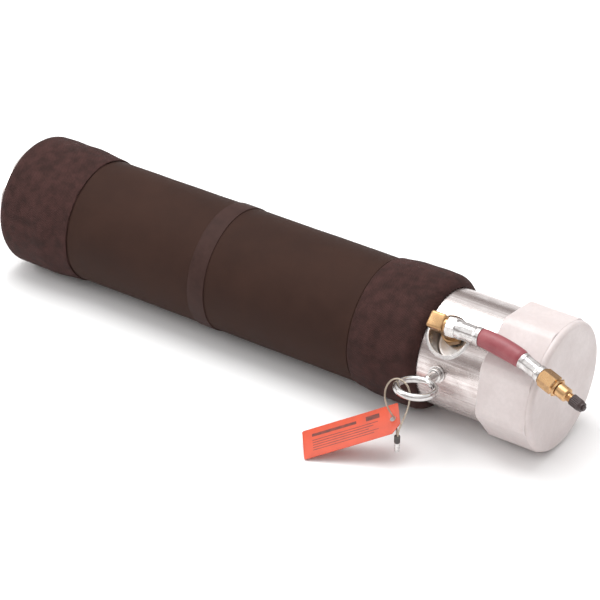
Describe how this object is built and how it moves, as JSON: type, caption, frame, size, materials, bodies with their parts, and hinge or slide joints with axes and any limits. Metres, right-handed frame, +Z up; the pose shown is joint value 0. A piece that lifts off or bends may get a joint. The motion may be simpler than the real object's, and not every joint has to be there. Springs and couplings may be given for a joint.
{
  "type": "inflatable pipe plug",
  "caption": "Flow-through inflatable pipe plug: black rubber sleeve on an aluminium tube, white screw cap, short red air hose with tyre valve, lifting eye and orange tag.",
  "frame": {"origin": "middle of the footprint of everything but the lanyard, on the floor", "axes": "+X along the tube towards the screw cap, +Z up, so the eye bolt reaches to -Y"},
  "size_m": [0.6122, 0.1977, 0.1211],
  "materials": {
    "tube_aluminium": "mill finish, faint drawing lines",
    "welded_aluminium": "satin, turned",
    "sleeve_rubber": "matt, smooth",
    "cuff_rubber": "matt, cloth-marked",
    "band_rubber": "satin",
    "stainless_steel": "satin",
    "cap_plastic": "moulded white pvc, soft gloss",
    "seal_rubber": "matt",
    "brass": "machined",
    "nylon_line": "satin",
    "plated_steel": "bright nickel or zinc plate",
    "hose_rubber": "matt, red",
    "black_plastic": "satin",
    "tag_vinyl": "satin, orange"
  },
  "bodies": {
    "plug": {"bypass_tube": "tube_aluminium", "port_pocket": "welded_aluminium", "rubber_sleeve": "sleeve_rubber", "rear_cuff": "cuff_rubber", "front_cuff": "cuff_rubber", "centre_band": "band_rubber", "rear_outer_band": "stainless_steel", "rear_inner_band": "stainless_steel", "front_inner_band": "stainless_steel", "front_outer_band": "stainless_steel", "elbow_seal": "seal_rubber", "port_elbow": "brass", "bulkhead_nut": "brass", "bladder_port": "brass", "valve_adapter": "brass", "valve_stem": "brass", "valve_core_body": "brass", "air_line": "nylon_line", "swivel_nut": "plated_steel", "inner_hose_tail": "plated_steel", "inner_ferrule": "plated_steel", "outer_ferrule": "plated_steel", "outer_hose_tail": "plated_steel", "valve_core_spring": "plated_steel", "eye_bolt": "plated_steel", "eye_nut": "plated_steel", "eye_outer_washer": "stainless_steel", "eye_inner_washer": "stainless_steel", "inflation_hose": "hose_rubber"},
    "cap_carrier": {"end_cap_gasket": "seal_rubber"},
    "cap": {"end_cap": "cap_plastic"},
    "valve_cap_carrier": {"valve_cap_washer": "seal_rubber"},
    "valve_cap": {"valve_cap": "black_plastic"},
    "core_pin": {"valve_core_pin": "plated_steel"},
    "lanyard": {"tag_wire": "stainless_steel", "crimp_cover": "black_plastic", "wire_crimp": "plated_steel"},
    "tag": {"tag_plate": "tag_vinyl"}
  },
  "joints": [
    {"name": "cap_travel", "type": "slide", "parent": "plug", "child": "cap_carrier", "axis": [1, 0, 0], "range_m": [0, 0.04445]},
    {"name": "cap_turn", "type": "hinge", "parent": "cap_carrier", "child": "cap", "pos_m": [0.17394, 0.02131, 0.059], "axis": [1, 0, 0], "range_deg": [0, 5040]},
    {"name": "valve_cap_travel", "type": "slide", "parent": "plug", "child": "valve_cap_carrier", "axis": [0.9563, -0.2138, -0.1994], "range_m": [0, 0.01111]},
    {"name": "valve_cap_turn", "type": "hinge", "parent": "valve_cap_carrier", "child": "valve_cap", "pos_m": [0.23982, -0.02735, 0.10797], "axis": [0.9563, -0.2138, -0.1994], "range_deg": [0, 5040]},
    {"name": "core_pin_press", "type": "slide", "parent": "plug", "child": "core_pin", "axis": [-0.9563, 0.2138, 0.1994], "range_m": [0, 0.0015], "stiffness_N_per_m": 1200, "springref_m": -0.001, "deforming": ["valve_core_spring"]},
    {"name": "lanyard_swing", "type": "hinge", "parent": "plug", "child": "lanyard", "pos_m": [0.14594, -0.06286, 0.07083], "axis": [0, 0.9903, -0.1392], "range_deg": [0, 40]},
    {"name": "tag_turn", "type": "hinge", "parent": "lanyard", "child": "tag", "pos_m": [0.14444, -0.06629, 0.0357], "axis": [-0.1631, -0.4391, 0.8835], "range_deg": [-20, 10]}
  ],
  "couplings": [
    {"joint": "cap_travel", "follows": "cap_turn", "m_per_rad": 0.0005053},
    {"joint": "valve_cap_turn", "follows": "valve_cap_travel", "rad_per_m": 7915.8}
  ]
}
